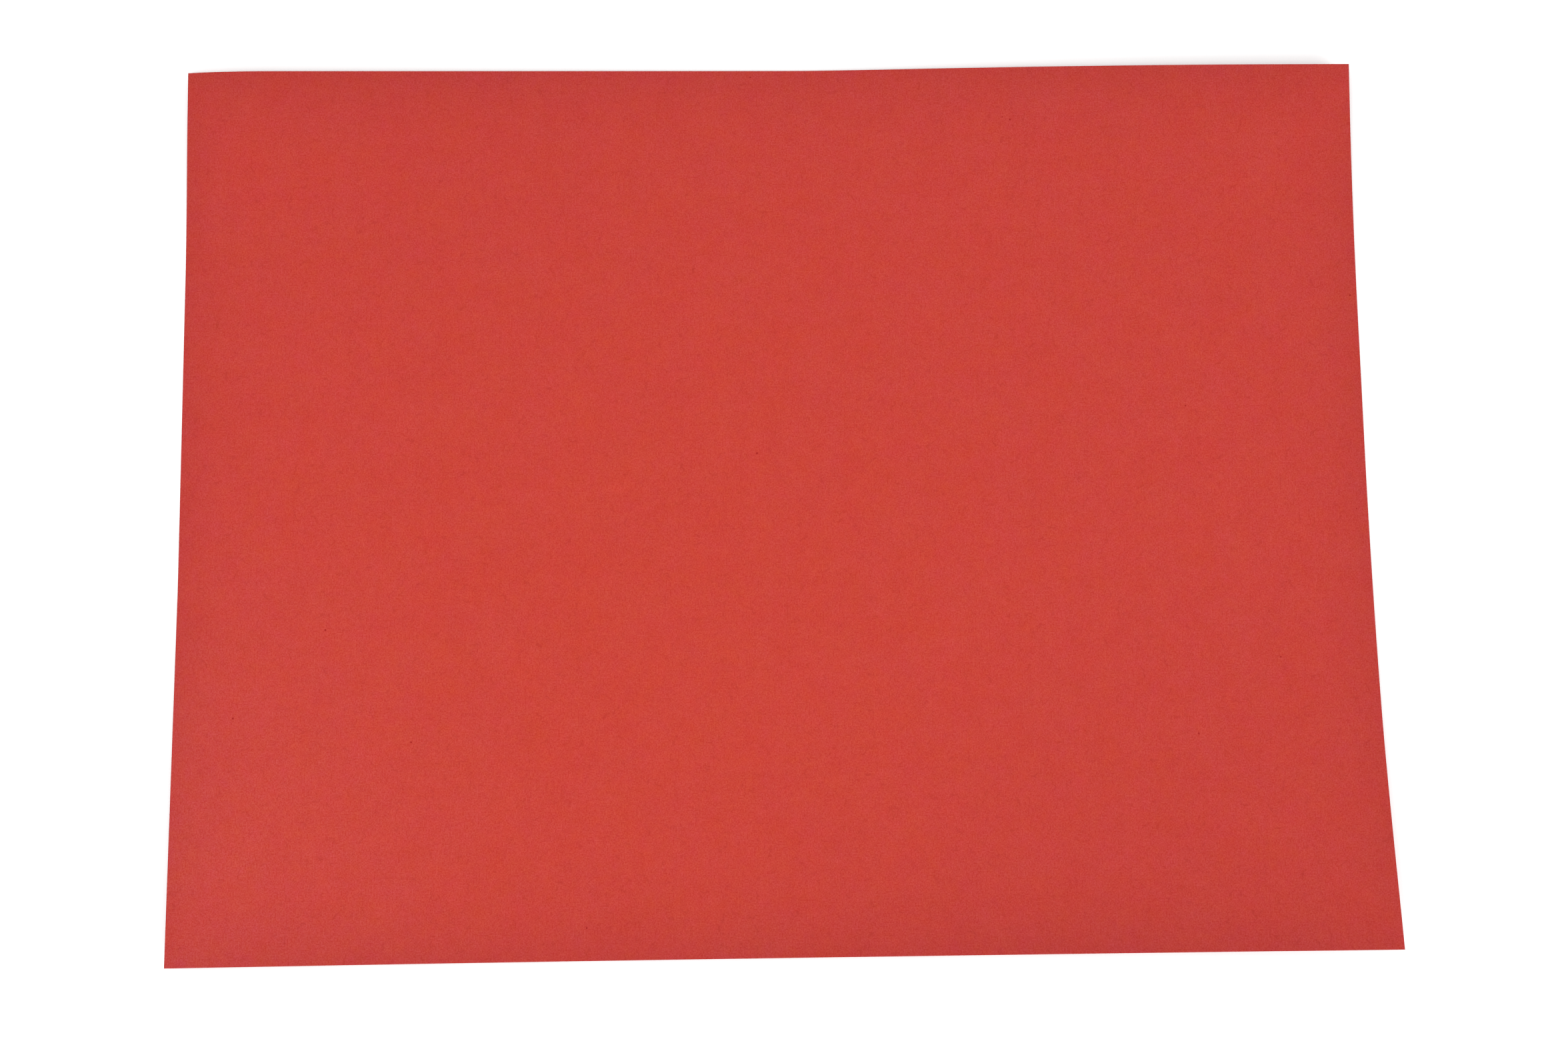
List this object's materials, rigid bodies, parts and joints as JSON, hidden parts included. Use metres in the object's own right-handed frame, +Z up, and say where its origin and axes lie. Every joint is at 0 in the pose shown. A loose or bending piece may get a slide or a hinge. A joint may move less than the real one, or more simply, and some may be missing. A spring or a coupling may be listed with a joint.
{
  "type": "construction paper sheet",
  "caption": "Plain rectangular sheet of red construction paper, blank on both faces, lying on a surface with gently lifted corners.",
  "frame": {"origin": "middle of the sheet's bounding box, on the surface it lies on", "axes": "+X along the long side, +Y along the short side towards the far edge, +Z up out of the upper face; the corner at +X, -Y is lifted most"},
  "size_m": [0.3048, 0.2286, 0.0108],
  "materials": {
    "red_paper": "matte"
  },
  "bodies": {
    "root": {"paper_sheet": "red_paper"}
  },
  "joints": []
}
